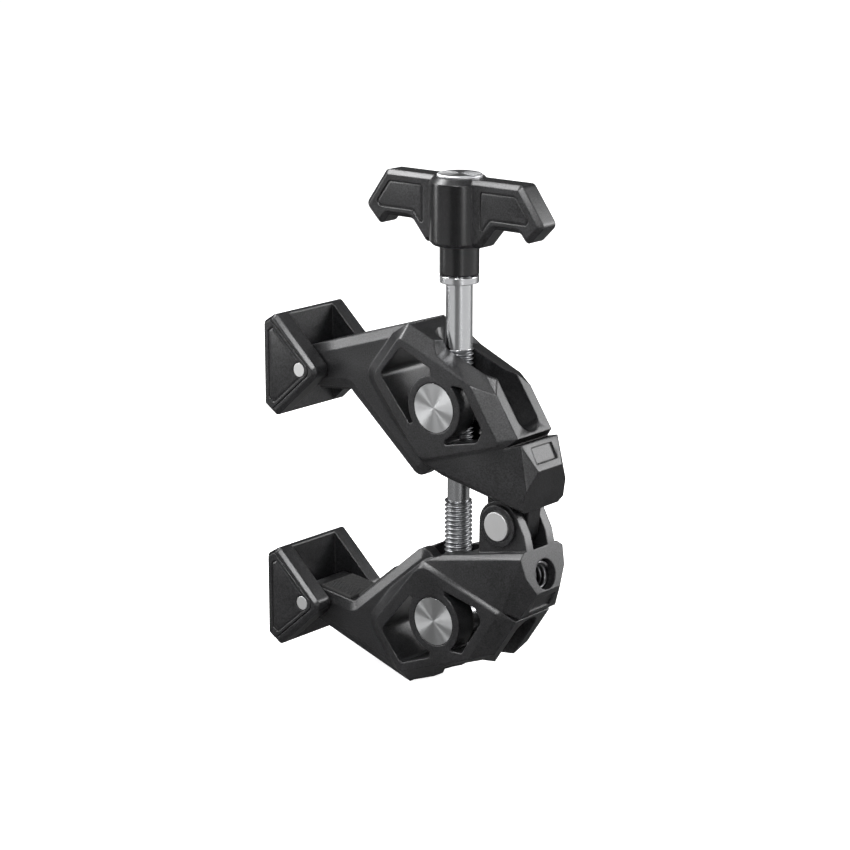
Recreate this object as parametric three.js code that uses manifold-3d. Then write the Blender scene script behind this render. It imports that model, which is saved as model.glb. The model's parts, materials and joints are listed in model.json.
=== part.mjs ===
// A super clamp: two mirrored cast arms turn on one hinge pin, and a hand screw with a left-hand
// and a right-hand thread draws their barrel nuts together. Swivelling pads sit on the arm tips.
// Millimetres. +Z runs up the screw to the handle, +X towards the hinge, +Y along the gripped tube.
// The origin is the middle of the tube that the four rubber-faced jaw faces hold at this opening.

import * as THREE from "three";
import { ConvexGeometry } from "three/addons/geometries/ConvexGeometry.js";
import { mergeVertices } from "three/addons/utils/BufferGeometryUtils.js";
import Module from "manifold-3d";

const wasm = await Module();
wasm.setup();

// ---- Driving dimensions of an arm, seen from the side: x to the rear of the hinge pin's axis,
// z away from the gripped tube.
const armTilt = THREE.MathUtils.degToRad(17.4); // each arm's turn from level at this opening
const nutX = -7.2; // barrel nut's axis
const nutZ = 26.95;
const padPinX = -40.6; // jaw pad's pin
const padPinZ = 40.7;
const beamTop = 45.4; // outer face of the beam that carries the pad
const bendX = -31.3; // where the tip face meets the rising face of the jaw
const bendZ = 35.3;
const upperFaceShift = -0.9; // upper arm's jaw faces stand this much nearer the tube
const lowerFaceShift = 0.9;
const tipFaceSlope = THREE.MathUtils.degToRad(11.5);
const risingFaceSlope = THREE.MathUtils.degToRad(57.7);
const rearFaceTurn = THREE.MathUtils.degToRad(31.3); // rear face's turn from square
const rearInnerX = 8.35; // rear face's edge nearest the hinge
const rearInnerZ = 1.87;
const rearFaceHeight = 9.3;
const rearHoleAlong = 5.8; // threaded hole's middle, along the rear face from that edge

// ---- Widths, as half widths from the middle plane.
const frameHalf = 8.35; // raised side frame, flush with the nuts' faces
const beamHalf = 6.6;
const sideHalf = 7.5; // housing and tail, just under the raised frame
const topHalf = 5.7; // flat top of the housing
const slotHalf = 3.2; // the slot that the screw swings in
const tongueHalf = 2.0; // upper arm's hinge tongue
const earOuter = 4.75; // lower arm's hinge ears
const beamChamferTall = 2.1;
const beamChamferDeep = 0.9;

// ---- Round pieces.
const nutRadius = 5.25;
const bossRadius = 7.0; // metal left round the nut by the two windows
const pinRadius = 2.0;
const pinHeadRadius = 3.1;
const pinHeadHeight = 0.9;
const washerOuter = 4.5;
const washerHeight = 0.5;
const hingeRound = 5.3; // round ends of ears and tongue
const padPinRadius = 1.55;
const rearHoleRadius = 3.25; // takes the wire insert of a 1/4 inch thread
const rearHoleDepth = 9.5;
const insertWall = 0.45;

// ---- Screw, with heights above the hinge level.
const upperThreadRadius = 3.1;
const shankRadius = 2.85;
const waistRadius = 2.4;
const lowerThreadRadius = 3.0;
const shankBottom = 35.1;
const upperThreadBottom = 9.5;
const lowerThreadTop = 1.9;
const screwBottom = -32.5;
const screwTop = 67.5;

// ---- Handle.
const collarBottom = 49.2;
const collarHeight = 1.6;
const neckRadius = 4.2;
const hubRadius = 6.3;
const hubBottom = 57.3;
const hubTop = 70.4;
const hubRimRadius = 5.3;
const hubRimRise = 1.2;
const capRadius = 4.8;
const capHeight = 0.8;
const wingReach = 23.6;
const wingHalf = 2.95;
const wingTop = 71.6;
const wingRoot = 57.4;
const grooveWidth = 0.5; // of the lines cut into wings and side plates
const grooveDepth = 0.35;
const handleTurn = THREE.MathUtils.degToRad(1.2);

// ---- Jaw pad, about its pin.
const padFaceX = -10.75; // flat gripping face
const padWallX = -6.5; // inner side of the front plate
const padHeight = 11.6;
const padCheek = 4.25;
const padCheekInset = 1.0; // side plate's recess

// ---- Rubber.
const rubberProud = 0.5;
const rubberSunk = 0.6;
const rubberHalf = 5.2;

// ---- Clearances.
const runningFit = 0.15; // round in round
const seatGap = 0.3; // between pieces that lie together
const padPlay = 0.4; // beam inside the pad's fork

const finish = {
  black: new THREE.MeshStandardMaterial({ color: 0x2b2b2d, roughness: 0.5, metalness: 0.6 }),
  gloss: new THREE.MeshStandardMaterial({ color: 0x18181a, roughness: 0.3, metalness: 0.6 }),
  steel: new THREE.MeshStandardMaterial({ color: 0xc4c4c4, roughness: 0.25, metalness: 1 }),
  rubber: new THREE.MeshStandardMaterial({ color: 0x161616, roughness: 0.85, metalness: 0 }),
};

// ---- Shape helpers.

// Corners are [x, z, radius]; each rounded corner becomes a short run of points on its arc.
function roundedPoints(corners, steps = 5) {
  const points = [];
  corners.forEach(([x, z, radius = 0], i) => {
    const here = new THREE.Vector2(x, z);
    const before = corners[(i + corners.length - 1) % corners.length];
    const after = corners[(i + 1) % corners.length];
    const back = new THREE.Vector2(before[0], before[1]).sub(here).normalize();
    const on = new THREE.Vector2(after[0], after[1]).sub(here).normalize();
    const half = Math.acos(THREE.MathUtils.clamp(back.dot(on), -1, 1)) / 2;
    if (radius === 0 || Math.PI / 2 - half < 0.02) {
      points.push(here);
      return;
    }
    const middle = back.clone().add(on).setLength(radius / Math.sin(half)).add(here);
    const reach = radius / Math.tan(half);
    const start = here.clone().addScaledVector(back, reach).sub(middle);
    const end = here.clone().addScaledVector(on, reach).sub(middle);
    const sweep = Math.atan2(start.cross(end), start.dot(end));
    for (let k = 0; k <= steps; k++) {
      const spoke = start.clone().rotateAround(new THREE.Vector2(), (sweep * k) / steps);
      points.push(spoke.add(middle));
    }
  });
  return points;
}

function solidOf(geometry) {
  const bare = geometry.clone();
  bare.deleteAttribute("normal");
  bare.deleteAttribute("uv");
  const merged = mergeVertices(bare, 1e-4);
  return new wasm.Manifold(
    new wasm.Mesh({
      numProp: 3,
      vertProperties: Float32Array.from(merged.attributes.position.array),
      triVerts: Uint32Array.from(merged.index.array),
    }),
  );
}

function geometryOf(solid) {
  const mesh = solid.getMesh();
  const geometry = new THREE.BufferGeometry();
  geometry.setAttribute("position", new THREE.BufferAttribute(mesh.vertProperties, 3));
  geometry.setIndex(new THREE.BufferAttribute(mesh.triVerts, 1));
  geometry.computeVertexNormals();
  return geometry;
}

// A side outline extruded across the clamp, from one Y to another.
function plate(corners, from, to) {
  const shape = new THREE.Shape(roundedPoints(corners));
  const geometry = new THREE.ExtrudeGeometry(shape, { depth: to - from, bevelEnabled: false });
  geometry.rotateX(Math.PI / 2);
  geometry.translate(0, to, 0);
  return solidOf(geometry);
}

// The same about the middle plane, with its edges cut off: tall in the outline's plane, deep in Y.
function chamferedPlate(corners, half, tall, deep) {
  const geometry = new THREE.ExtrudeGeometry(new THREE.Shape(roundedPoints(corners)), {
    depth: 2 * (half - deep),
    bevelEnabled: true,
    bevelSize: tall,
    bevelOffset: -tall,
    bevelThickness: deep,
    bevelSegments: 1,
  });
  geometry.rotateX(Math.PI / 2);
  geometry.translate(0, half - deep, 0);
  return solidOf(geometry);
}

// The convex block round rings of [x, z] points, each ring at plus and minus its own half width.
function block(rings) {
  const points = [];
  for (const [half, ring] of rings) {
    for (const [x, z] of ring) {
      points.push(new THREE.Vector3(x, -half, z), new THREE.Vector3(x, half, z));
    }
  }
  return solidOf(new ConvexGeometry(points));
}

function rounded(corners, steps) {
  return roundedPoints(corners, steps).map((p) => [p.x, p.y]);
}

function cylinderY(radius, from, to, x = 0, z = 0, sides = 40) {
  const geometry = new THREE.CylinderGeometry(radius, radius, to - from, sides);
  geometry.translate(x, (from + to) / 2, z);
  return solidOf(geometry);
}

// A turned piece about the Z axis, from a profile of [radius, height] that closes on the axis.
function turned(profile, sides = 40) {
  const points = profile.map(([radius, height]) => new THREE.Vector2(radius, height));
  const geometry = new THREE.LatheGeometry(points, sides);
  geometry.rotateX(Math.PI / 2);
  return solidOf(geometry);
}

// A tube about the Z axis.
function tube(inner, outer, bottom, top, sides = 40) {
  const ring = [
    [inner, bottom],
    [outer, bottom],
    [outer, top],
    [inner, top],
    [inner, bottom],
  ];
  return turned(ring, sides);
}

function piece(name, solid, material) {
  const mesh = new THREE.Mesh(geometryOf(solid), material);
  mesh.name = name;
  return mesh;
}

// ---- Places that follow from the driving dimensions.

function aboutNut(corners) {
  return corners.map(([x, z, radius]) => [nutX + x, nutZ + z, radius]);
}

// A point on the rear face, this far from its inner edge.
function onRearFace(along) {
  const x = rearInnerX + along * Math.sin(rearFaceTurn);
  const z = rearInnerZ + along * Math.cos(rearFaceTurn);
  return [x, z];
}

// From an arm's own frame to the hinge's, for the upper arm.
function armToHinge(x, z) {
  return [
    x * Math.cos(armTilt) - z * Math.sin(armTilt),
    x * Math.sin(armTilt) + z * Math.cos(armTilt),
  ];
}

// The middle of the tube touching the tip and rising faces of both arms, seen from the hinge. It
// lies on the level plane, equally far from the two rubber faces.
function gripMiddle() {
  const faces = [tipFaceSlope, risingFaceSlope].map((slope) => {
    const turn = slope - armTilt;
    const normal = [-Math.sin(turn), -Math.cos(turn)];
    const [x, z] = armToHinge(bendX, bendZ);
    return { normal, reach: normal[0] * x + normal[1] * z + rubberProud };
  });
  const [tip, rising] = faces;
  return (tip.reach - rising.reach) / (tip.normal[0] - rising.normal[0]);
}

const [nutFromHinge, nutRise] = armToHinge(nutX, nutZ);
const [padFromHinge, padRise] = armToHinge(padPinX, padPinZ);
const hingeX = -gripMiddle();
const screwX = hingeX + nutFromHinge;
const padX = hingeX + padFromHinge;
const pocketHalf = beamHalf + padPlay;
const padHalf = pocketHalf + padCheek;

// ---- Arms.

const frameOutline = aboutNut([
  [-5.2, 16.05, 1.2],
  [11.2, 3.05, 1.0],
  [15.2, -10.2, 0.8],
  [-7.4, -10.2, 4.0],
  [-15.2, 9.05, 3.0],
]);
// Where the raised frame's sloping rim meets the beam.
const rimOutline = aboutNut([
  [-7.2, 17.65, 0.6],
  [-18.4, 10.2, 3.5],
  [-9.9, -11.2, 3.0],
]);
// Corners of the two slanted top faces that the slot runs through.
const topCorners = aboutNut([
  [-3.85, beamTop - nutZ],
  [14.3, 4.15],
  [18.4, -9.65],
]);
const lowEdge = aboutNut([
  [-7.3, -11.05],
  [15.4, -11.05],
]);
const leftWindow = aboutNut([
  [-5.4, 13.95, 1.3],
  [1.5, 8.4, 0.5],
  [-0.8, 0.05],
  [-7.7, -2.35, 0.5],
  [-12.8, 9.45, 1.5],
]);
const rightWindow = aboutNut([
  [6.3, 4.0, 0.4],
  [9.1, 2.9, 0.9],
  [11.75, -6.65, 1.5],
  [9.4, -8.75, 1.2],
  [0.5, -8.05, 0.3],
  [3.5, -1.0],
]);

function alongFace(slope, distance, inward) {
  // From the bend: along a jaw face, and into the metal.
  const x = bendX + distance * Math.cos(slope) + inward * Math.sin(slope);
  const z = bendZ - distance * Math.sin(slope) + inward * Math.cos(slope);
  return [x, z];
}

// Faces moved inwards meet this much further along the tip face, per millimetre.
const cornerShare = Math.tan((risingFaceSlope - tipFaceSlope) / 2);
const tipLeft = padPinX - 4.6;
const tipLength = (bendX - tipLeft) / Math.cos(tipFaceSlope);
const risingLength = 26.4;

function beam(shift) {
  const [tipX, tipZ] = alongFace(tipFaceSlope, -tipLength, shift);
  const [footX, footZ] = alongFace(risingFaceSlope, risingLength, shift);
  const [cornerX, cornerZ] = alongFace(tipFaceSlope, shift * cornerShare, shift);
  const outline = [
    [tipX, beamTop, 3.8],
    [tipX, tipZ, 2.2],
    [cornerX, cornerZ, 1.6],
    [footX, footZ, 2.6],
    [nutX - 1, nutZ - 10],
    [nutX - 3.5, beamTop],
  ];
  return chamferedPlate(outline, beamHalf, beamChamferTall, beamChamferDeep);
}

function housing() {
  return block([
    [frameHalf, rounded(frameOutline)],
    [topHalf, topCorners],
    [beamHalf, rounded(rimOutline)],
    [sideHalf, lowEdge],
  ]);
}

// The tail carries the rear face, a hexagon that narrows away from the hinge.
function tail() {
  const step = [nutX + 19.2, nutZ - 11.05];
  return block([
    [sideHalf, lowEdge],
    [beamHalf + 0.2, [[nutX - 3.1, nutZ - 14.55]]],
    [sideHalf - 1.3, [step]],
    [topHalf, [onRearFace(0)]],
    [sideHalf - 0.3, [onRearFace(1.15)]],
    [beamHalf, [onRearFace(5.3)]],
    [topHalf - 1.75, [onRearFace(rearFaceHeight)]],
  ]);
}

// The screw's slot: open through the top faces and the underside, round the nut. Its two ends in
// the top faces are round in plan.
function screwSlot() {
  const outline = aboutNut([
    [slotHalf - 0.9, 25],
    [24, 25],
    [24, -4.0],
    [1.3, -10.85],
    [1.3, -22],
    [-12.6, -22],
    [-12.6, -15.5],
    [-5.9, 0],
    [-0.9, 12],
    [slotHalf - 0.9, 12],
  ]);
  const front = new THREE.CylinderGeometry(slotHalf, slotHalf, 24, 32);
  front.rotateX(Math.PI / 2);
  front.translate(nutX + slotHalf - 0.9, 0, nutZ + 13);
  const rear = new THREE.CylinderGeometry(slotHalf, slotHalf, 23.7, 32);
  rear.rotateX(Math.PI / 2);
  rear.rotateY(THREE.MathUtils.degToRad(73.2));
  rear.translate(nutX + 12.65, 0, nutZ - 7.42);
  return plate(outline, -slotHalf, slotHalf).add(solidOf(front)).add(solidOf(rear));
}

// Dished cuts that widen the slot's edges along the front slanted face, on each side. Each ramps
// up again across the corner where that face meets the rear slanted one.
function slotDishes() {
  const [startX, startZ] = [nutX - 5.2, nutZ + 16.05];
  const [alongX, alongZ] = [0.7837, -0.6212];
  const corners = [
    // y, out of the face, along it
    [2.9, 1.6, 9.1],
    [7.5, 0.93, 10.1],
    [9.5, 3.5, 5.7],
    [2.9, 6.0, 4.1],
    [2.9, 1.6, 19.4],
    [8.3, 0.1, 20.3],
    [5.9, 0.3, 26.2],
    [2.9, 2.5, 23.2],
    [9.5, 3.5, 26.2],
    [2.9, 6.0, 26.2],
  ];
  const [near, far] = [-1, 1].map((side) => {
    const points = corners.map(([y, out, along]) => {
      const x = startX + along * alongX - out * alongZ;
      const z = startZ + along * alongZ + out * alongX;
      return new THREE.Vector3(x, side * y, z);
    });
    return solidOf(new ConvexGeometry(points));
  });
  return near.add(far);
}

function windows() {
  const boss = cylinderY(bossRadius, -20, 20, nutX, nutZ, 48);
  return plate(leftWindow, -15, 15).add(plate(rightWindow, -15, 15)).subtract(boss);
}

// Recessed panels: one in the beam's outer face, one in the tail's.
function panels() {
  const beamPanel = plate(
    [
      [padPinX + 3.2, beamTop + 1],
      [padPinX + 3.2, beamTop - 0.45],
      [nutX - 10.8, beamTop - 0.45],
      [nutX - 10.8, beamTop + 1],
    ],
    -3.6,
    3.6,
  );
  const [cornerX, cornerZ] = onRearFace(rearFaceHeight);
  const [stepX, stepZ] = [nutX + 19.2, nutZ - 11.05];
  const between = (share, out) => [
    cornerX + (stepX - cornerX) * share + out,
    cornerZ + (stepZ - cornerZ) * share,
  ];
  const tailPanel = plate(
    [between(0.25, -0.4), between(0.82, -0.4), between(0.82, 2), between(0.25, 2)],
    -3.4,
    3.4,
  );
  return beamPanel.add(tailPanel);
}

// Shallow seats for the two rubber facings of a jaw.
function rubberSlab(slope, from, to, half, out, sunk, shift) {
  const corners = [
    [from, shift - out],
    [to, shift - out],
    [to, shift + sunk],
    [from, shift + sunk],
  ].map(([distance, inward]) => alongFace(slope, distance, inward));
  return plate(corners, -half, half);
}

const tipRubber = [-(tipLength - 4.2), -1.0];
const risingRubber = [1.2, 15.0];

function rubberSeats(shift) {
  const seats = [
    [tipFaceSlope, tipRubber],
    [risingFaceSlope, risingRubber],
  ].map(([slope, [from, to]]) =>
    rubberSlab(
      slope,
      from - seatGap,
      to + seatGap,
      rubberHalf + seatGap,
      2,
      rubberSunk + seatGap,
      shift,
    ),
  );
  return seats[0].add(seats[1]);
}

function armBlank(shift) {
  return beam(shift)
    .add(housing())
    .add(tail())
    .subtract(windows())
    .subtract(screwSlot())
    .subtract(slotDishes())
    .subtract(panels())
    .subtract(rubberSeats(shift))
    .subtract(cylinderY(nutRadius + runningFit, -20, 20, nutX, nutZ, 48))
    .subtract(cylinderY(padPinRadius + runningFit, -20, 20, padPinX, padPinZ, 24));
}

function hingeCircle(radius) {
  const ring = [];
  for (let k = 0; k < 36; k++) {
    const angle = (k / 36) * 2 * Math.PI;
    ring.push([radius * Math.cos(angle), radius * Math.sin(angle)]);
  }
  return ring;
}

function upperArm() {
  const tongue = block([
    [tongueHalf, [...hingeCircle(hingeRound), [-2.4, 10.4], [2, 9], [7.4, 3.6]]],
  ]);
  const bore = cylinderY(pinRadius + runningFit, -20, 20);
  return armBlank(upperFaceShift).add(tongue).subtract(bore);
}

function rearHole(radius, depth, proud, sides = 40) {
  const geometry = new THREE.CylinderGeometry(radius, radius, depth + proud, sides);
  geometry.rotateZ(Math.PI / 2);
  geometry.translate((proud - depth) / 2, 0, 0);
  geometry.rotateY(rearFaceTurn);
  const [x, z] = onRearFace(rearHoleAlong);
  geometry.translate(x, 0, z);
  return solidOf(geometry);
}

function lowerArm() {
  const earOutline = [
    ...hingeCircle(hingeRound),
    [-2.4, 10.4],
    onRearFace(-3.2),
    onRearFace(2),
  ];
  const ears = block([[earOuter, earOutline]]);
  const between = block([[tongueHalf + padPlay, [...hingeCircle(hingeRound + 0.3), [16, -4]]]]);
  const gap = plate(
    [
      [-14, -8],
      [14, -8],
      [14, rearInnerZ - 3.6],
      [rearInnerX, rearInnerZ - 0.01],
      [nutX - 3.1, nutZ - 14.6],
    ],
    -(tongueHalf + padPlay),
    tongueHalf + padPlay,
  );
  const bore = cylinderY(pinRadius + runningFit, -20, 20);
  return armBlank(lowerFaceShift)
    .add(ears.subtract(between).subtract(gap))
    .subtract(bore)
    .subtract(rearHole(rearHoleRadius, rearHoleDepth, 3));
}

function rubberFacing(slope, [from, to], shift) {
  return rubberSlab(slope, from, to, rubberHalf, rubberProud, rubberSunk, shift);
}

function threadInsert() {
  const outside = rearHole(rearHoleRadius - runningFit, rearHoleDepth - 1.2, -0.9);
  const inside = rearHole(rearHoleRadius - runningFit - insertWall, rearHoleDepth + 5, 5);
  return outside.subtract(inside);
}

// ---- Nuts, screw and handle.

function barrelNut() {
  const bore = tube(0, upperThreadRadius + runningFit, -12, 12, 32);
  return cylinderY(nutRadius, -frameHalf, frameHalf, 0, 0, 48).subtract(bore);
}

function clampScrew() {
  const lead = 0.6;
  return turned([
    [0, screwBottom],
    [lowerThreadRadius - lead, screwBottom],
    [lowerThreadRadius, screwBottom + lead],
    [lowerThreadRadius, lowerThreadTop - lead],
    [waistRadius, lowerThreadTop],
    [waistRadius, upperThreadBottom],
    [upperThreadRadius, upperThreadBottom + lead],
    [upperThreadRadius, shankBottom - lead],
    [shankRadius, shankBottom],
    [shankRadius, screwTop],
    [0, screwTop],
  ]);
}

function thrustCollar() {
  return tube(shankRadius + runningFit, neckRadius, collarBottom, collarBottom + collarHeight);
}

function wingOutline() {
  const side = [
    [wingReach - 5.8, wingTop, 1.3],
    [wingReach, wingTop - 8.0, 1.3],
    [wingReach - 4.2, wingTop - 12.2, 1.1],
    [wingReach - 6.2, wingTop - 9.8, 0.8],
    [hubRadius + 4.6, wingTop - 9.8, 1.4],
    [hubRadius + 0.9, wingRoot, 1.1],
  ];
  const other = side.map(([x, z, radius]) => [-x, z, radius]).reverse();
  return [...side, ...other];
}

// A panel on one wing: its outline, sunk into both faces by a groove.
function wingPanel(side) {
  const outline = [
    [hubRadius + 1.2, wingTop - 2.2, 0.8],
    [wingReach - 6.9, wingTop - 2.2, 0.9],
    [wingReach - 3.3, wingTop - 7.0, 0.9],
    [wingReach - 4.4, wingTop - 8.0, 0.6],
    [hubRadius + 3.9, wingTop - 8.0, 0.7],
    [hubRadius + 1.2, wingTop - 11.4, 0.6],
  ].map(([x, z, radius]) => [side * x, z, radius]);
  return side > 0 ? outline : outline.reverse();
}

function groovedWings() {
  let wings = chamferedPlate(wingOutline(), wingHalf, 1.0, 0.9);
  for (const side of [-1, 1]) {
    const outline = wingPanel(side);
    const floor = wingHalf - grooveDepth;
    wings = wings
      .subtract(plate(outline, floor, wingHalf + 1))
      .subtract(plate(outline, -wingHalf - 1, -floor))
      .add(chamferedPlate(outline, wingHalf, grooveWidth, grooveDepth));
  }
  return wings;
}

function handle() {
  const hub = turned([
    [0, collarBottom + collarHeight + seatGap],
    [neckRadius, collarBottom + collarHeight + seatGap],
    [neckRadius, hubBottom],
    [hubRadius - 0.7, hubBottom],
    [hubRadius, hubBottom + 0.7],
    [hubRadius, hubTop],
    [hubRimRadius, hubTop + hubRimRise],
    [0, hubTop + hubRimRise],
  ]);
  const wings = groovedWings();
  const bore = turned([
    [0, 0],
    [shankRadius + runningFit, 0],
    [shankRadius + runningFit, screwTop + seatGap],
    [0, screwTop + seatGap],
  ]);
  const capSeat = tube(0, capRadius + runningFit, capFloor, capFloor + 5);
  return hub.add(wings).subtract(bore).subtract(capSeat);
}

const capFloor = hubTop + hubRimRise - 0.5;

function handleCap() {
  const bottom = capFloor + seatGap;
  return turned([
    [0, bottom],
    [capRadius, bottom],
    [capRadius, bottom + capHeight - 0.3],
    [capRadius - 0.3, bottom + capHeight],
    [0.9, bottom + capHeight],
    [0, bottom + capHeight - 0.3],
  ]);
}

// ---- Jaw pads.

const padOutline = [
  [padFaceX, padHeight - 2.3, 1.0],
  [padFaceX + 3.6, padHeight, 1.0],
  [4.7, 0.95, 1.8],
  [4.7, -0.95, 1.8],
  [padFaceX + 3.6, -padHeight, 1.0],
  [padFaceX, 2.3 - padHeight, 1.0],
];
const sidePlateOutline = [
  [padFaceX + 0.65, padHeight - 2.6, 0.4],
  [padFaceX + 2.4, padHeight - 1.5, 0.4],
  [2.5, 0.75, 1.1],
  [2.5, -0.75, 1.1],
  [padFaceX + 2.4, 1.5 - padHeight, 0.4],
  [padFaceX + 0.65, 2.6 - padHeight, 0.4],
];

function grown(corners, by) {
  const scale = 1 + by / 6;
  return corners.map(([x, z, radius]) => [(x + 3.5) * scale - 3.5, z * scale, radius]);
}

function jawPad() {
  const fork = plate(
    [
      [padWallX, -20],
      [20, -20],
      [20, 20],
      [padWallX, 20],
    ],
    -pocketHalf,
    pocketHalf,
  );
  const body = chamferedPlate(padOutline, padHalf, 0.8, 0.8);
  const faceSeat = plate(
    [
      [padFaceX - 1, -rubberSeatTall],
      [padFaceX + rubberSunk + seatGap, -rubberSeatTall],
      [padFaceX + rubberSunk + seatGap, rubberSeatTall],
      [padFaceX - 1, rubberSeatTall],
    ],
    -(padHalf - 1.6),
    padHalf - 1.6,
  );
  const recess = grown(sidePlateOutline, seatGap);
  return body
    .subtract(fork)
    .subtract(faceSeat)
    .subtract(plate(recess, padHalf - padCheekInset, padHalf + 1))
    .subtract(plate(recess, -padHalf - 1, padCheekInset - padHalf))
    .subtract(cylinderY(padPinRadius + runningFit, -20, 20, 0, 0, 24));
}

const rubberSeatTall = padHeight - 3.2;

function padFacing() {
  return plate(
    [
      [padFaceX, seatGap - rubberSeatTall],
      [padFaceX + rubberSunk, seatGap - rubberSeatTall],
      [padFaceX + rubberSunk, rubberSeatTall - seatGap],
      [padFaceX, rubberSeatTall - seatGap],
    ],
    seatGap - (padHalf - 1.6),
    padHalf - 1.6 - seatGap,
  );
}

function sidePlate(side) {
  const [inner, outer] = [padHalf - padCheekInset + seatGap, padHalf - 0.05];
  const span = side > 0 ? [inner, outer] : [-outer, -inner];
  const cut = side > 0 ? [outer - grooveDepth, outer + 1] : [-outer - 1, grooveDepth - outer];
  const outline = grown(sidePlateOutline, -0.9).map(([x, z]) => [x, z, grooveWidth + 0.2]);
  const blank = plate(sidePlateOutline, ...span);
  const raised = chamferedPlate(outline, outer, grooveWidth, grooveDepth).intersect(blank);
  return blank
    .subtract(plate(outline, ...cut))
    .add(raised)
    .subtract(cylinderY(padPinRadius + runningFit, -20, 20, 0, 0, 24));
}

// ---- Assembly.

const clamp = new THREE.Group();
const sides = { upper: 1, lower: -1 };

for (const [name, side] of Object.entries(sides)) {
  const half = new THREE.Group();
  half.position.x = hingeX;
  half.scale.z = side;
  clamp.add(half);
  const arm = new THREE.Group();
  arm.rotation.y = -armTilt;
  half.add(arm);
  const armSolid = side > 0 ? upperArm() : lowerArm();
  const shift = side > 0 ? upperFaceShift : lowerFaceShift;
  const tipFacing = rubberFacing(tipFaceSlope, tipRubber, shift);
  const throatFacing = rubberFacing(risingFaceSlope, risingRubber, shift);
  arm.add(piece(`${name}_arm`, armSolid, finish.black));
  arm.add(piece(`${name}_tip_rubber`, tipFacing, finish.rubber));
  arm.add(piece(`${name}_throat_rubber`, throatFacing, finish.rubber));
  if (side < 0) arm.add(piece("rear_thread_insert", threadInsert(), finish.steel));

  const nut = piece(`${name}_barrel_nut`, barrelNut(), finish.steel);
  nut.position.set(screwX, 0, side * nutRise);
  clamp.add(nut);

  const pad = new THREE.Group();
  pad.position.set(padX, 0, side * padRise);
  clamp.add(pad);
  pad.add(piece(`${name}_jaw_pad`, jawPad(), finish.black));
  pad.add(piece(`${name}_pad_rubber`, padFacing(), finish.rubber));
  const pinHalf = padHalf - 0.1;
  const padPin = cylinderY(padPinRadius, -pinHalf, pinHalf, 0, 0, 24);
  pad.add(piece(`${name}_pad_pin`, padPin, finish.steel));
  pad.add(piece(`${name}_pad_plate_near`, sidePlate(-1), finish.black));
  pad.add(piece(`${name}_pad_plate_far`, sidePlate(1), finish.black));
}

const hinge = new THREE.Group();
hinge.position.x = hingeX;
clamp.add(hinge);
const washerStart = earOuter + seatGap;
const headStart = washerStart;
const headEnd = headStart + pinHeadHeight;
function washer(side) {
  const ends = [washerStart, washerStart + washerHeight].map((y) => side * y);
  const [from, to] = ends.sort((a, b) => a - b);
  return cylinderY(washerOuter, from, to, 0, 0, 48).subtract(
    cylinderY(pinHeadRadius + runningFit, -20, 20, 0, 0, 48),
  );
}
const shaft = cylinderY(pinRadius, -headStart - 0.1, headStart - seatGap, 0, 0, 32);
const nearHead = cylinderY(pinHeadRadius, -headEnd, -headStart, 0, 0, 48);
hinge.add(piece("hinge_pin", shaft.add(nearHead), finish.steel));
const farHead = cylinderY(pinHeadRadius, headStart, headEnd, 0, 0, 48);
hinge.add(piece("hinge_pin_cap", farHead, finish.steel));
hinge.add(piece("hinge_ring_near", washer(-1), finish.gloss));
hinge.add(piece("hinge_ring_far", washer(1), finish.gloss));

const screw = new THREE.Group();
screw.position.x = screwX;
screw.rotation.z = handleTurn;
clamp.add(screw);
screw.add(piece("clamp_screw", clampScrew(), finish.steel));
screw.add(piece("thrust_collar", thrustCollar(), finish.steel));
screw.add(piece("t_handle", handle(), finish.gloss));
screw.add(piece("handle_cap", handleCap(), finish.steel));

export default clamp;
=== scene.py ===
# %% [markdown]
# # A super clamp, black anodised aluminium and stainless steel
# The clamp is about 112 mm tall. Its two arms, pads and handle are machined aluminium: flat faces
# meet at small bevels, and it is those bevels that catch the light and draw the shape. The screw
# is bright steel with a left-hand thread above and a right-hand thread below.
#
# The solid model already holds every flat face and hole to size. So the machined pieces here are
# that model's own faces, welded and bevelled, and only what a solid model leaves out is computed
# anew: the screw's threads, the ribbed rubber and the coils of the thread insert.

import json
import math

import bmesh
import bpy
import numpy as np
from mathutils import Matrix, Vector


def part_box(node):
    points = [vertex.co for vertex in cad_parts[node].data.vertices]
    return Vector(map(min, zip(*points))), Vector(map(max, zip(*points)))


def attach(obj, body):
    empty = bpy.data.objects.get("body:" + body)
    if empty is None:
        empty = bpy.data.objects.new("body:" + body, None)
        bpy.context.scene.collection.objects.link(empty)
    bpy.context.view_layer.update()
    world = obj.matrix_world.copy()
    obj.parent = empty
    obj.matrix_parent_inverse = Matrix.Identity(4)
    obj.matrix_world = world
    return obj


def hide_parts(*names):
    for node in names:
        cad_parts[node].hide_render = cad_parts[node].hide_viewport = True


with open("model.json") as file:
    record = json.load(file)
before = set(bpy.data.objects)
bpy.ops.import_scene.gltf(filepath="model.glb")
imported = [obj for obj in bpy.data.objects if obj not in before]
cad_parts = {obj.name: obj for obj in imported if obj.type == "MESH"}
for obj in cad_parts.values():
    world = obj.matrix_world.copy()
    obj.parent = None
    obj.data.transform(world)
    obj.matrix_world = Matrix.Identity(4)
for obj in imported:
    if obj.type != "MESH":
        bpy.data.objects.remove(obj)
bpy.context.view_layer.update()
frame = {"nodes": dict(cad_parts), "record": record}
body_of = {
    node: body
    for body, nodes in frame["record"]["behaviour"]["bodies"].items()
    for node in nodes
}
MM = 0.001
ACROSS, UP = (0, 1, 0), (0, 0, 1)
print(len(body_of), "solids on", len(set(body_of.values())), "moving bodies")

# %% [markdown]
# ## Small helpers
# A colour is written as it would be on a screen and turned into the linear light that a renderer
# works in. One function adds any shader node: a setting that is itself a socket is linked, and
# any other value is stored.


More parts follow.
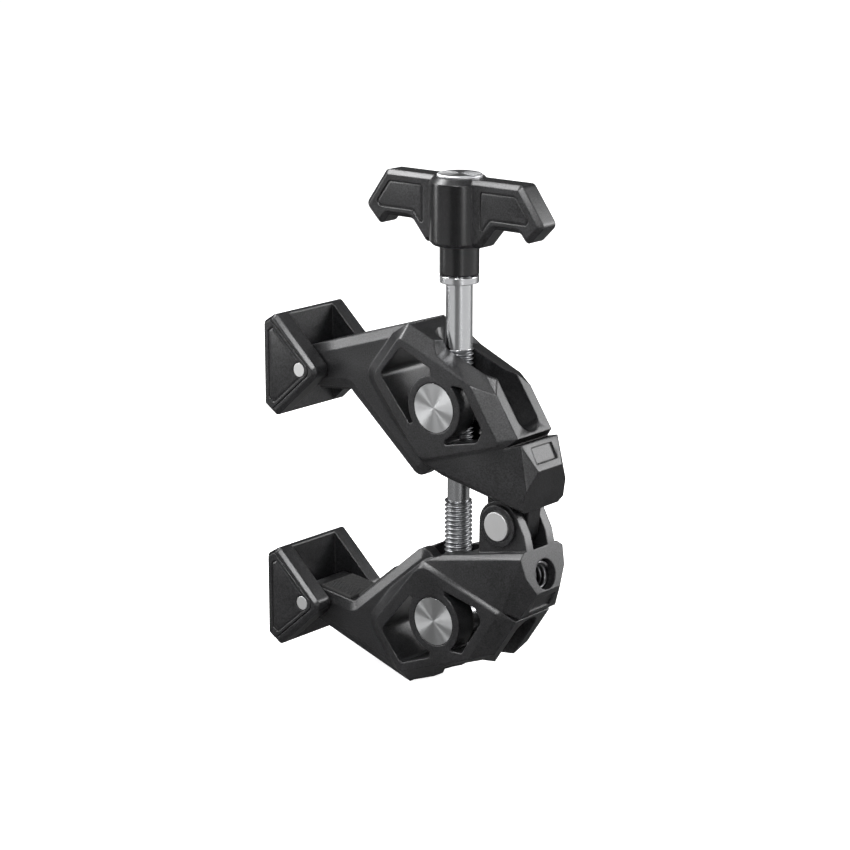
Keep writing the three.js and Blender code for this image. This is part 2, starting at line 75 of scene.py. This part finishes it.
# %% Colour and node helpers
def colour(hex_code):
    """Screen colour to linear light: c/12.92 below 0.04045, else ((c + 0.055)/1.055) to the 2.4."""
    shares = [int(hex_code[i : i + 2], 16) / 255 for i in (1, 3, 5)]
    linear = [c / 12.92 if c <= 0.04045 else ((c + 0.055) / 1.055) ** 2.4 for c in shares]
    return (*linear, 1.0)


def add(tree, kind, inputs=None, **settings):
    """A node of one kind, with its settings, and its inputs either linked or stored."""
    made = tree.nodes.new(kind)
    for name, value in settings.items():
        setattr(made, name, value)
    for name, value in (inputs or {}).items():
        if isinstance(value, bpy.types.NodeSocket):
            tree.links.new(value, made.inputs[name])
        else:
            made.inputs[name].default_value = value
    return made


def finish_named(name):
    """An empty material with its output node, ready for a surface."""
    material = bpy.data.materials.new(name)
    material.use_nodes = True
    tree = material.node_tree
    tree.nodes.clear()
    return material, tree, add(tree, "ShaderNodeOutputMaterial")


print("helpers for colours and nodes")

# %% [markdown]
# ## Bead-blasted, anodised aluminium
# Blasting leaves dimples a tenth of a millimetre or so across, too fine to show, so they are drawn
# about 0.3 mm wide. The black oxide over them is a thin, slightly glossy glass, and the dimples
# glint: those glints are painted into the colour as light speckles, so the colour is speckled as
# well as bumped, over a real slow drift in the oxide's depth. Tumbling rounds the edges, and a
# shader can round them more evenly than bevels do where many short edges meet. The same recipe with
# finer, weaker grain gives the smoother handle hub.


# %% Anodised finishes
CLOUD_MM = 9  # slow drift of the oxide's depth
DIMPLE_MM = 0.03  # depth of the dimples
EDGE_MM = 0.45  # edges shade as if rounded this much


def anodised(name, dark, light, grain_mm, bump, roughness):
    """Black oxide: colour runs from dark to light with a slow drift and painted glints of the
    grain, and edges shade as if rounded.
    """
    material, tree, output = finish_named(name)
    place = add(tree, "ShaderNodeTexCoord")
    grain_and_glint = add(
        tree,
        "ShaderNodeTexNoise",
        {"Vector": place.outputs["Object"], "Scale": 1 / (grain_mm * MM), "Detail": 2.0},
    )
    broad = add(
        tree,
        "ShaderNodeTexNoise",
        {"Vector": place.outputs["Object"], "Scale": 1 / (CLOUD_MM * MM), "Detail": 1.0},
    )
    # painted glints: the grain's speckle lightens the colour where the dimples would glint; the
    # broad cloud's quarter share is the oxide's real drift in depth
    both = add(
        tree,
        "ShaderNodeMath",
        {0: broad.outputs["Fac"], 1: 0.25, 2: grain_and_glint.outputs["Fac"]},
        operation="MULTIPLY_ADD",
    )
    drift_and_glint_tone = add(tree, "ShaderNodeMapRange", {"Value": both.outputs[0], 1: 0.42, 2: 0.85})
    mix = add(
        tree,
        "ShaderNodeMix",
        {0: drift_and_glint_tone.outputs[0], 6: colour(dark), 7: colour(light)},
        data_type="RGBA",
    )
    rough = add(
        tree,
        "ShaderNodeMapRange",
        {"Value": grain_and_glint.outputs["Fac"], 3: roughness - 0.06, 4: roughness + 0.06},
    )
    soft_edge = add(tree, "ShaderNodeBevel", {"Radius": EDGE_MM * MM}, samples=6)
    dimple = add(
        tree,
        "ShaderNodeBump",
        {
            "Strength": bump,
            "Distance": DIMPLE_MM * MM,
            "Height": grain_and_glint.outputs["Fac"],
            "Normal": soft_edge.outputs[0],
        },
    )
    surface = add(
        tree,
        "ShaderNodeBsdfPrincipled",
        {
            "Base Color": mix.outputs[2],
            "Roughness": rough.outputs[0],
            "Metallic": 0.35,
            "Specular IOR Level": 1.0,
            "Normal": dimple.outputs[0],
        },
    )
    tree.links.new(surface.outputs[0], output.inputs[0])
    return material


BLASTED = anodised("bead-blasted black anodised aluminium", "#070708", "#343436", 0.3, 0.6, 0.34)
SATIN = anodised("satin black anodised aluminium", "#0c0c0d", "#1c1c1e", 0.12, 0.12, 0.25)
print("two anodised finishes")

# %% [markdown]
# ## Turned and ground steel
# A lathe leaves rings round the axis that are too fine to see one by one. Together they spread a
# highlight across the rings, so a turned disc shows bright fans that meet in its middle. The
# tangent of the rings at a point is the axis crossed with the line from the axis to that point.
# Another way is a picture of rings, but it would blur close by and the fans wouldn't move with
# the light. Ground pins and rolled threads have no rings to speak of and take no spread.


# %% Steel finishes
WEAR_MM = 1.5  # patches of slightly duller steel


def turned_steel(name, tint, roughness, axis, centre, spread):
    """Steel whose highlight spreads across rings round the axis through the centre."""
    material, tree, output = finish_named(name)
    place = add(tree, "ShaderNodeTexCoord")
    arm = add(
        tree,
        "ShaderNodeVectorMath",
        {0: place.outputs["Object"], 1: centre},
        operation="SUBTRACT",
    )
    ring = add(
        tree,
        "ShaderNodeVectorMath",
        {0: axis, 1: arm.outputs[0]},
        operation="CROSS_PRODUCT",
    )
    along = add(tree, "ShaderNodeVectorMath", {0: ring.outputs[0]}, operation="NORMALIZE")
    wear = add(
        tree,
        "ShaderNodeTexNoise",
        {"Vector": place.outputs["Object"], "Scale": 1 / (WEAR_MM * MM), "Detail": 3.0},
    )
    rough = add(
        tree,
        "ShaderNodeMapRange",
        {"Value": wear.outputs["Fac"], 3: roughness - 0.04, 4: roughness + 0.04},
    )
    surface = add(
        tree,
        "ShaderNodeBsdfPrincipled",
        {
            "Base Color": colour(tint),
            "Roughness": rough.outputs[0],
            "Metallic": 1.0,
            "Anisotropic": spread,
            "Tangent": along.outputs[0],
        },
    )
    tree.links.new(surface.outputs[0], output.inputs[0])
    return material


def box_middle(node):
    """The middle of a piece's box."""
    low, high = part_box(node)
    return [(a + b) / 2 for a, b in zip(low, high)]


screw_axis = box_middle("clamp_screw")
SCREW_STEEL = turned_steel("bright turned steel", "#d8d9db", 0.24, UP, screw_axis, 0.2)
THREAD_STEEL = turned_steel("rolled thread steel", "#939496", 0.4, UP, screw_axis, 0.0)
CAP_STEEL = turned_steel("turned steel cap", "#dcdddf", 0.3, UP, screw_axis, 1.0)
PIN_STEEL = turned_steel("matt ground steel", "#f4f4f4", 0.5, ACROSS, screw_axis, 0.0)
COIL_STEEL = turned_steel("dark coil steel", "#8c8c8e", 0.35, UP, screw_axis, 0.0)
NUT_STEEL = {
    name: turned_steel(f"turned steel, {name} nut", "#dedfe0", 0.36, ACROSS, box_middle(name), 0.92)
    for name in ("upper_barrel_nut", "lower_barrel_nut")
}
print("seven steel finishes")

# %% [markdown]
# ## Rubber
# Moulded rubber is nearly black and dull, with a faint bloom that lightens it unevenly. One noise
# does for both the bloom and the pores, because bloom gathers in the pores.

# %% Rubber finish
BLOOM_MM = 0.6
PORE_MM = 0.02
RUBBER, tree, output = finish_named("matt black rubber")
place = add(tree, "ShaderNodeTexCoord")
bloom = add(
    tree,
    "ShaderNodeTexNoise",
    {"Vector": place.outputs["Object"], "Scale": 1 / (BLOOM_MM * MM), "Detail": 4.0},
)
mix = add(
    tree,
    "ShaderNodeMix",
    {0: bloom.outputs["Fac"], 6: colour("#161616"), 7: colour("#2b2b2b")},
    data_type="RGBA",
)
pores = add(
    tree,
    "ShaderNodeBump",
    {"Strength": 0.3, "Distance": PORE_MM * MM, "Height": bloom.outputs["Fac"]},
)
surface = add(
    tree,
    "ShaderNodeBsdfPrincipled",
    {"Base Color": mix.outputs[2], "Roughness": 0.72, "Normal": pores.outputs[0]},
)
tree.links.new(surface.outputs[0], output.inputs[0])
print("rubber")

# %% [markdown]
# ## Machined pieces
# A solid's faces arrive as loose triangles. Welding them and dissolving the flat ones gives clean
# faces whose real edges can be bevelled. Keeping the normals of the flat faces on the bevels
# makes the faces look flat and their edges soft, as tumbling and blasting leave them. Another
# way is to let the shader round the edges, but then the outline stays sharp.


# %% Dressing a solid's faces
SAME_POINT, SLIVER, SAME_PLANE = 0.002 * MM, 0.01 * MM, math.radians(0.6)
SHARP = math.radians(20)


def welded(node):
    """A copy of a solid's mesh with its triangles joined and its flat faces whole."""
    mesh = frame["nodes"][node].data.copy()
    work = bmesh.new()
    work.from_mesh(mesh)
    bmesh.ops.remove_doubles(work, verts=work.verts, dist=SAME_POINT)
    bmesh.ops.dissolve_degenerate(work, edges=work.edges, dist=SLIVER)
    bmesh.ops.dissolve_limit(
        work,
        angle_limit=SAME_PLANE,
        verts=work.verts,
        edges=work.edges,
    )
    work.to_mesh(mesh)
    work.free()
    return mesh


def piece(name, mesh, material, node, extra=()):
    """An object that stands for one node, rides with its body and takes that node's finish."""
    made = bpy.data.objects.new(name, mesh)
    bpy.context.scene.collection.objects.link(made)
    mesh.materials.clear()
    for each in (material, *extra):
        mesh.materials.append(each)
    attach(made, body_of[node])
    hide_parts(node)
    return made


def machined(node, material, edge_mm=0.3, segments=2, extra=(), pick=None):
    """The solid's own faces with every edge sharper than 20 degrees bevelled."""
    mesh = welded(node)
    made = piece(f"{node}_machined", mesh, material, node, extra)
    mesh.shade_smooth()
    mesh.set_sharp_from_angle(angle=SHARP)
    if pick:
        for face in mesh.polygons:
            face.material_index = pick(face)
    bevel = made.modifiers.new("edges", "BEVEL")
    bevel.width = edge_mm * MM
    bevel.segments = segments
    bevel.limit_method = "ANGLE"
    bevel.angle_limit = SHARP
    bevel.harden_normals = True
    bevel.use_clamp_overlap = True
    bevel.miter_outer = "MITER_ARC"
    return made


print("edges sharper than", round(math.degrees(SHARP)), "degrees are bevelled")

# %% [markdown]
# ## Arms, pads, handle and pins
# Everything blasted and anodised is one finish. The handle is the exception: its hub and neck were
# turned after blasting, so the faces that lie round its axis take the satin finish instead.

# %% Black pieces and their pins
for side in ("upper", "lower"):
    machined(f"{side}_arm", BLASTED, 0.3)
    machined(f"{side}_jaw_pad", BLASTED, 0.35)
    for face in ("near", "far"):
        machined(f"{side}_pad_plate_{face}", BLASTED, 0.15)
    machined(f"{side}_pad_pin", PIN_STEEL, 0.1)
NECK_FACE, HUB_FACE = 4.3 * MM, 6.4 * MM  # just outside neck and hub
HUB_FOOT = 57.2 * MM


def on_hub(face):
    """1 for a face of the round hub or neck: its middle is near the axis, and it faces away."""
    out = np.array([face.center.x - screw_axis[0], face.center.y])
    reach = np.hypot(*out)
    away = out / max(reach, 1e-9)
    tilt = abs(away[0] * face.normal.x + away[1] * face.normal.y)
    round_side = NECK_FACE <= reach < HUB_FACE and tilt > 0.97
    return int(round_side or face.center.z < HUB_FOOT or reach < NECK_FACE)


machined("t_handle", BLASTED, 0.35, extra=(SATIN,), pick=on_hub)
for ring in ("hinge_ring_near", "hinge_ring_far"):
    machined(ring, BLASTED, 0.15)
for pin in ("hinge_pin", "hinge_pin_cap"):
    machined(pin, PIN_STEEL, 0.12)
print("arms, pads, handle and pins")

# %% [markdown]
# ## Turned pieces
# The nuts' ends are faced on a lathe, so only those faces get the ringed finish, and their round
# sides are plain bright steel.

# %% Nuts, collar and cap
for name, steel in NUT_STEEL.items():
    machined(
        name,
        SCREW_STEEL,
        0.25,
        extra=(steel,),
        pick=lambda face: int(abs(face.normal.y) > 0.9),
    )
machined("thrust_collar", SCREW_STEEL, 0.2)
machined("handle_cap", CAP_STEEL, 0.12)
print("turned pieces")

# %% [markdown]
# ## The screw
# One closed surface of revolution. Its radius at a height is the shank's radius, and where there
# is a thread it is lowered by a wave that climbs one pitch per turn. The upper thread climbs the
# left-hand way and the lower one the right-hand way, which is why one handle closes both arms.


# %% Surfaces on a grid
def quads(index):
    """Faces between neighbours in a grid of point numbers."""
    corners = [index[:-1, :-1], index[:-1, 1:], index[1:, 1:], index[1:, :-1]]
    return np.stack(corners, axis=-1).reshape(-1, 4).tolist()


def pipe_mesh(name, points):
    """A closed skin over rings of points, of shape (rings, points in a ring, 3), with end caps."""
    rings, around = points.shape[:2]
    index = np.arange(rings * around).reshape(rings, around)
    faces = quads(np.hstack([index, index[:, :1]]))
    faces.append(index[0][::-1].tolist())
    faces.append(index[-1].tolist())
    mesh = bpy.data.meshes.new(name)
    mesh.from_pydata((points.reshape(-1, 3) * MM).tolist(), [], faces)
    mesh.shade_smooth()
    return mesh


def turn_outwards(mesh):
    """Points every face of a closed mesh away from its inside."""
    work = bmesh.new()
    work.from_mesh(mesh)
    bmesh.ops.recalc_face_normals(work, faces=work.faces)
    work.to_mesh(mesh)
    work.free()


def ramp(z, low, high, fade):
    """0 outside low to high, 1 inside, and a straight run between over the fade."""
    return np.clip(np.minimum(z - low, high - z) / fade, 0, 1)


print("helpers for grids")

# %% [markdown]
# ## The screw's sizes
# All in millimetres, with heights above the hinge. A real M6 thread has flat flanks. Here each
# groove is a smooth wave, which shows the same bright crests and dark roots at this size and
# doesn't need a row of points on every crest.

# %% Screw profile
screw_low, screw_high = (np.array(corner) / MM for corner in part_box("clamp_screw"))
axis_x = (screw_low[0] + screw_high[0]) / 2
thread_top, waist_top, waist_low = 35.1, 9.5, 1.9
SHANK, UPPER_THREAD, WAIST, LOWER_THREAD = 2.85, 3.1, 2.4, 3.0  # radii
PITCH, DEPTH = 1.0, 0.52
FADE, LEAD = 0.5, 0.6  # run-out of a thread, and the taper at the screw's tip
ROW = PITCH / 10

turn = np.linspace(0, 2 * math.pi, 56, endpoint=False)
height = np.arange(screw_low[2], thread_top + 0.9, ROW)
height = np.append(height, [50.0, screw_high[2]])
z, angle = np.meshgrid(height, turn, indexing="ij")

base = np.where(z > thread_top, SHANK, np.where(z > waist_top, UPPER_THREAD, LOWER_THREAD))
base = np.where((z <= waist_top) & (z >= waist_low), WAIST, base)
print("screw", round(screw_high[2] - screw_low[2], 1), "mm long")

# %% [markdown]
# ## The two threads
# A thread's phase is the height in pitches plus or minus the share of a turn, and the sign is its
# hand. The screw is one piece, whose threaded faces take the duller finish.

# %% Threaded screw


def groove(phase):
    """Depth share of a rolled groove: half of 1 less the cosine of a whole turn per pitch."""
    return 0.5 - 0.5 * np.cos(2 * math.pi * phase)


left_hand = groove(z / PITCH + angle / (2 * math.pi)) * ramp(z, waist_top, thread_top, FADE)
right_hand = groove(z / PITCH - angle / (2 * math.pi)) * ramp(z, -math.inf, waist_low, FADE)
radius = base - DEPTH * (left_hand + right_hand)
taper = WAIST + np.clip(z - screw_low[2], 0, LEAD)
radius = np.where(z < screw_low[2] + LEAD, np.minimum(radius, taper), radius)
thread = np.stack([axis_x + radius * np.cos(angle), radius * np.sin(angle), z], axis=-1)
screw = piece(
    "threaded_screw",
    pipe_mesh("threaded_screw", thread),
    SCREW_STEEL,
    "clamp_screw",
    (THREAD_STEEL,),
)
for face in screw.data.polygons:
    rise = face.center.z / MM
    face.material_index = int(waist_top < rise < thread_top or rise < waist_low)
screw.data.set_sharp_from_angle(angle=math.radians(70))
print("screw", len(screw.data.polygons), "faces")

# %% [markdown]
# ## How a tilted solid lies
# The rubber facings and the thread insert lie at an angle in the clamp's side plane. Their own
# directions are found from their corners: the longest one is the first singular vector.


# %% Directions of a solid
def side_frame(node):
    """Points and their middle, with the longest way in the side plane and the way square to it."""
    points = np.array([v.co for v in frame["nodes"][node].data.vertices]) / MM
    middle = points.mean(0)
    _, _, ways = np.linalg.svd(points[:, [0, 2]] - middle[[0, 2]], full_matrices=False)
    along = np.array([ways[0][0], 0, ways[0][1]])
    square = np.array([-ways[0][1], 0, ways[0][0]])
    half = np.abs(points[:, 1]).max()
    return points, middle, along, square, half


print("helper for tilted solids")

# %% [markdown]
# ## Rubber facings
# Each facing is a slab with a ribbed top. The ribs run across it in chevrons, one about every
# 0.9 mm, so a tube can neither slide along the jaw nor turn in it. They are real relief, because
# bumps alone would vanish edge on.

# %% Ribbed slabs
RIB, RIB_DEPTH, SLANT = 0.9, 0.22, 0.45
MARGIN, MARGIN_FADE = 0.5, 0.15  # plain border round the ribs
ROUND, ROUND_DROP = 0.25, 0.18  # softened outer edge
ROWS, COLUMNS = 140, 61


def ribbed(node):
    """Top height is full less a share of the rib depth: |sin| of the distance along the chevron."""
    points, middle, along, out, half = side_frame(node)
    if out @ middle > 0:
        out = -out
    reach = (points - middle) @ along
    rise = (points - middle) @ out
    near, far = reach.min(), reach.max()
    u = np.linspace(near, far, ROWS)
    y = np.linspace(-half, half, COLUMNS)
    uu, yy = np.meshgrid(u, y, indexing="ij")
    inner = ramp(uu, near + MARGIN, far - MARGIN, MARGIN_FADE)
    inner = inner * ramp(yy, MARGIN - half, half - MARGIN, MARGIN_FADE)
    wave = np.abs(np.sin(math.pi * (uu + SLANT * np.abs(yy)) / RIB))
    edge = np.minimum(ramp(uu, near, far, ROUND), ramp(yy, -half, half, ROUND))
    top = rise.max() - RIB_DEPTH * inner * (1 - wave) - ROUND_DROP * (1 - edge) ** 2
    upper = middle + uu[..., None] * along + top[..., None] * out
    upper[..., 1] = yy
    lower = middle + uu[..., None] * along + rise.min() * out
    lower[..., 1] = yy
    index = np.arange(ROWS * COLUMNS).reshape(ROWS, COLUMNS)
    rim = np.concatenate([index[0, :-1], index[:-1, -1], index[-1, :0:-1], index[:0:-1, 0]])
    rim_low = np.arange(index.size, index.size + len(rim))
    walls = np.stack([rim, rim_low, np.roll(rim_low, -1), np.roll(rim, -1)], axis=-1)
    corners = np.vstack([upper.reshape(-1, 3), lower.reshape(-1, 3)[rim]]) * MM
    mesh = bpy.data.meshes.new(node)
    mesh.from_pydata(corners.tolist(), [], quads(index) + walls.tolist() + [rim_low[::-1].tolist()])
    turn_outwards(mesh)
    mesh.shade_smooth()
    mesh.set_sharp_from_angle(angle=math.radians(50))
    return mesh


for side in ("upper", "lower"):
    for part in ("tip", "throat"):
        node = f"{side}_{part}_rubber"
        piece(f"{node}_ribbed", ribbed(node), RUBBER, node)
    machined(f"{side}_pad_rubber", RUBBER, 0.12)
print("rubber facings")

# %% [markdown]
# ## Thread insert
# A wire coil in the rear socket, with the pitch of a quarter inch screw. The coil is a round wire
# swept along a helix about the hole: a point's distance from the axis is the coil's radius plus
# the wire's, times the cosine round the wire, and its depth adds the sine.

# %% Insert coils
COIL_PITCH, WIRE = 25.4 / 20, 0.42  # twenty turns to the inch
POINTS_A_TURN, POINTS_ROUND_WIRE = 40, 8
insert, middle, bore, _, half = side_frame("rear_thread_insert")
if bore[0] < 0:
    bore = -bore
side_way = np.array([-bore[2], 0, bore[0]])
depths = (insert - middle) @ bore
turns = (depths.max() - depths.min() - 2 * WIRE) / COIL_PITCH
run = np.linspace(0, turns * 2 * math.pi, int(turns * POINTS_A_TURN))
around = np.linspace(0, 2 * math.pi, POINTS_ROUND_WIRE, endpoint=False)
rr, aa = np.meshgrid(run, around, indexing="ij")
spoke = np.cos(rr)[..., None] * side_way + np.sin(rr)[..., None] * np.array(ACROSS)
depth = depths.min() + WIRE + COIL_PITCH * rr / (2 * math.pi) + WIRE * np.sin(aa)
from_axis = half - WIRE + WIRE * np.cos(aa)
coil = middle * [1, 0, 1] + spoke * from_axis[..., None] + depth[..., None] * bore
coil_mesh = pipe_mesh("insert_coil", coil)
turn_outwards(coil_mesh)
piece("insert_coil", coil_mesh, COIL_STEEL, "rear_thread_insert")
print("insert coil", round(turns, 1), "turns")

# %% [markdown]
# ## Floor
# Pale paper, lit from behind so that it looks white. The object would reflect that white and turn
# grey, so the paper glows for the camera alone and is darker still in reflections.


# %% Paper floor
def flat_sheet(name, low, high, z, material):
    """A level rectangle of the stage, from one corner to the other."""
    corners = [(low[0], low[1]), (high[0], low[1]), (high[0], high[1]), (low[0], high[1])]
    mesh = bpy.data.meshes.new(name)
    mesh.from_pydata([(x, y, z) for x, y in corners], [], [(0, 1, 2, 3)])
    mesh.materials.append(material)
    made = bpy.data.objects.new(name, mesh)
    bpy.context.scene.collection.objects.link(made)
    return made


floor_z = min(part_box(node)[0][2] for node in frame["nodes"])
PAPER, tree, output = finish_named("pale paper, lit from behind")
seen = add(tree, "ShaderNodeLightPath")
backlight = add(
    tree,
    "ShaderNodeMapRange",
    {"Value": seen.outputs["Is Camera Ray"], 3: 0.06, 4: 0.9},
)
shade = add(
    tree,
    "ShaderNodeMix",
    {0: seen.outputs["Is Glossy Ray"], 6: colour("#f8f8f8"), 7: colour("#505050")},
    data_type="RGBA",
)
surface = add(
    tree,
    "ShaderNodeBsdfPrincipled",
    {
        "Base Color": shade.outputs[2],
        "Roughness": 0.9,
        "Specular IOR Level": 0.0,
        "Emission Color": (1, 1, 1, 1),
        "Emission Strength": backlight.outputs[0],
    },
)
tree.links.new(surface.outputs[0], output.inputs[0])
flat_sheet("floor", (-6, -6), (6, 6), floor_z, PAPER)
print("floor at", round(floor_z / MM, 2), "mm")

# %% [markdown]
# ## Reflector cards
# Three glowing cards lie on the floor, out of the camera's sight. Upright steel mirrors the floor
# from this height, so each card becomes a bright band on the screw, with grey between the bands.

# %% Cards on the floor
CARD, tree, output = finish_named("reflector card")
glow = add(tree, "ShaderNodeEmission", {"Color": (1, 1, 1, 1), "Strength": 0.75})
tree.links.new(glow.outputs[0], output.inputs[0])
for name, low, high in (
    ("card_left", (-0.35, -0.8), (0.05, -0.2)),
    ("card_right", (0.2, -0.25), (0.9, 0.7)),
    ("card_behind", (-0.9, 0.1), (-0.25, 0.9)),
):
    card = flat_sheet(name, low, high, floor_z + 1 * MM, CARD)
    card.visible_camera = card.visible_diffuse = card.visible_shadow = False
print("three cards")

# %% [markdown]
# ## Sky
# White to the eye but dim to the object, which keeps its blacks deep.

# %% Sky
world = bpy.data.worlds.new("studio")
bpy.context.scene.world = world
world.use_nodes = True
sky = world.node_tree
sky.nodes.clear()
seen = add(sky, "ShaderNodeLightPath")
strength = add(
    sky,
    "ShaderNodeMapRange",
    {"Value": seen.outputs["Is Camera Ray"], 3: 0.1, 4: 1.0},
)
glow = add(sky, "ShaderNodeBackground", {"Color": (1, 1, 1, 1), "Strength": strength.outputs[0]})
add(sky, "ShaderNodeOutputWorld", {"Surface": glow.outputs[0]})
print("sky")

# %% [markdown]
# ## Lights
# Black metal shows what it reflects, so each box stands where a set of edges mirrors it: the
# strips draw the upright edges, the two upper boxes the level ones, and the box behind lights the
# faces that slope to the rear. The gaps between them stay dark.


# %% Soft boxes
def facing(direction):
    """The turn that points a light's or camera's -Z axis along a direction."""
    return Vector(direction).to_track_quat("-Z", "Y").to_euler()


def soft_box(name, place, wide, tall, power):
    """A rectangular area light at a place, facing the clamp's middle."""
    light = bpy.data.lights.new(name, "AREA")
    light.shape = "RECTANGLE"
    light.size, light.size_y, light.energy = wide, tall, power
    made = bpy.data.objects.new(name, light)
    bpy.context.scene.collection.objects.link(made)
    made.location = place
    made.rotation_euler = facing(np.array(CLAMP_MIDDLE) - np.array(place))


CLAMP_MIDDLE = (0.024, 0.0, 0.016)
soft_box("left strip", (-0.6, -0.35, 0.12), 0.14, 0.7, 3.0)
soft_box("upper left", (-0.5, -0.25, 0.65), 0.3, 0.25, 4.5)
soft_box("front top", (0.25, -0.55, 0.6), 0.2, 0.2, 3.6)
soft_box("right front", (0.7, -0.45, 0.1), 0.12, 0.5, 1.6)
soft_box("back right", (0.6, 0.65, 0.3), 0.4, 0.6, 5.5)
soft_box("overhead", (-0.1, 0.15, 0.85), 0.8, 0.5, 2.5)
bpy.context.scene.view_settings.view_transform = "Standard"
print(len(bpy.data.lights), "soft boxes")

# %% [markdown]
# ## Camera
# A long lens from the front right and a little above, half a metre away. The direction back to
# the camera comes from its two angles.

# %% Camera
azimuth, elevation, distance = math.radians(40.369), math.radians(14.809), 0.529742
target = np.array([0.023604, 0.0, 0.016658])
back = np.array(
    [
        math.sin(azimuth) * math.cos(elevation),
        -math.cos(azimuth) * math.cos(elevation),
        math.sin(elevation),
    ]
)
lens = bpy.data.cameras.new("camera")
lens.lens, lens.sensor_width = 104.40, 36.0
lens.clip_start, lens.clip_end = 0.01, 20
camera = bpy.data.objects.new("camera", lens)
bpy.context.scene.collection.objects.link(camera)
camera.location = target + back * distance
camera.rotation_euler = facing(-back)
bpy.context.scene.camera = camera
print("camera", round(distance, 2), "m away")
